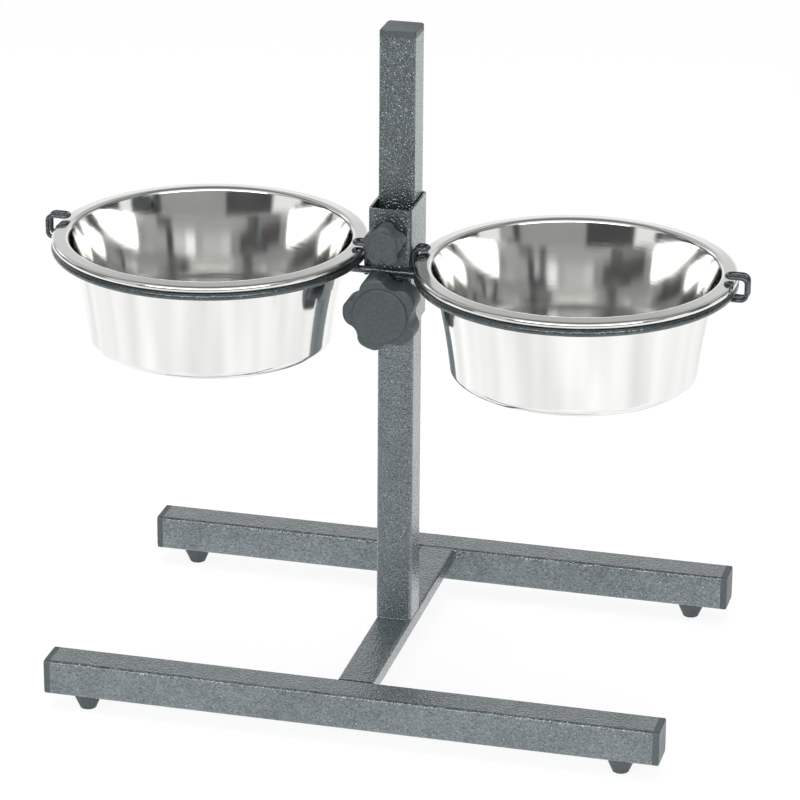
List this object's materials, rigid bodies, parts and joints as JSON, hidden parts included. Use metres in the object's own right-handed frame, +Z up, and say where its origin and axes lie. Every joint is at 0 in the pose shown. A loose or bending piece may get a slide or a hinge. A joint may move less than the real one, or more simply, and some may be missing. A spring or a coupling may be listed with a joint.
{
  "type": "raised pet bowl stand",
  "caption": "Raised pet feeder: a post on an H-shaped tube base with a clamped sliding sleeve, whose wire rack holds steel bowls by their rims.",
  "frame": {"origin": "on the floor, under the centre of the post", "axes": "+X to the right along the rails, +Y to the rear, +Z up along the post"},
  "size_m": [0.486, 0.281, 0.4625],
  "materials": {
    "hammer_enamel": "hammer-finish enamel, glossy and dimpled",
    "wire_enamel": "dark hammer-finish enamel on round wire",
    "cap_plastic": "moulded, satin",
    "knob_plastic": "moulded, fine grain",
    "foot_rubber": "moulded, matt",
    "zinc_steel": "zinc plated",
    "polished_steel": "polished stainless sheet"
  },
  "bodies": {
    "stand": {"front_rail": "hammer_enamel", "rear_rail": "hammer_enamel", "cross_bar": "hammer_enamel", "post": "hammer_enamel", "post_cap": "cap_plastic", "cap_front_left": "cap_plastic", "cap_front_right": "cap_plastic", "cap_rear_left": "cap_plastic", "cap_rear_right": "cap_plastic", "foot_front_left": "foot_rubber", "foot_front_right": "foot_rubber", "foot_rear_left": "foot_rubber", "foot_rear_right": "foot_rubber", "foot_screws": "zinc_steel"},
    "carriage": {"height_sleeve": "hammer_enamel", "height_nut": "zinc_steel", "steady_nut": "zinc_steel", "cross_rod": "wire_enamel", "left_ring": "wire_enamel", "right_ring": "wire_enamel", "left_hook": "wire_enamel", "right_hook": "wire_enamel"},
    "height_pad_body": {"height_pad": "cap_plastic"},
    "height_knob_body": {"height_knob": "knob_plastic", "height_stud": "zinc_steel"},
    "steady_pad_body": {"steady_pad": "cap_plastic"},
    "steady_knob_body": {"steady_knob": "knob_plastic", "steady_stud": "zinc_steel"},
    "left_clip_body": {"left_clip": "wire_enamel"},
    "right_clip_body": {"right_clip": "wire_enamel"},
    "left_bowl_body": {"left_bowl": "polished_steel"},
    "right_bowl_body": {"right_bowl": "polished_steel"}
  },
  "joints": [
    {"name": "height_slide", "type": "slide", "parent": "stand", "child": "carriage", "axis": [0, 0, 1], "range_m": [-0.2, 0.112]},
    {"name": "height_feed", "type": "slide", "parent": "carriage", "child": "height_pad_body", "axis": [0, -1, 0], "range_m": [0, 0.0026]},
    {"name": "height_turn", "type": "hinge", "parent": "height_pad_body", "child": "height_knob_body", "pos_m": [0, -0.045, 0.2775], "axis": [0, -1, 0], "range_deg": [0, 720]},
    {"name": "steady_feed", "type": "slide", "parent": "carriage", "child": "steady_pad_body", "axis": [0, -1, 0], "range_m": [0, 0.0021]},
    {"name": "steady_turn", "type": "hinge", "parent": "steady_pad_body", "child": "steady_knob_body", "pos_m": [0, -0.04, 0.324], "axis": [0, -1, 0], "range_deg": [0, 720]},
    {"name": "left_clip_swing", "type": "hinge", "parent": "carriage", "child": "left_clip_body", "pos_m": [-0.232, -0.024, 0.30655], "axis": [0, -1, 0], "range_deg": [0, 50]},
    {"name": "right_clip_swing", "type": "hinge", "parent": "carriage", "child": "right_clip_body", "pos_m": [0.232, -0.024, 0.30655], "axis": [0, 1, 0], "range_deg": [0, 50]},
    {"name": "left_bowl_tip", "type": "hinge", "parent": "carriage", "child": "left_bowl_body", "pos_m": [-0.0215, -0.024, 0.31183], "axis": [0, 1, 0], "range_deg": [0, 16]},
    {"name": "right_bowl_tip", "type": "hinge", "parent": "carriage", "child": "right_bowl_body", "pos_m": [0.0215, -0.024, 0.31183], "axis": [0, -1, 0], "range_deg": [0, 16]}
  ],
  "couplings": [
    {"joint": "height_feed", "follows": "height_turn", "m_per_rad": 0.00019894},
    {"joint": "steady_feed", "follows": "steady_turn", "m_per_rad": 0.00015915}
  ]
}
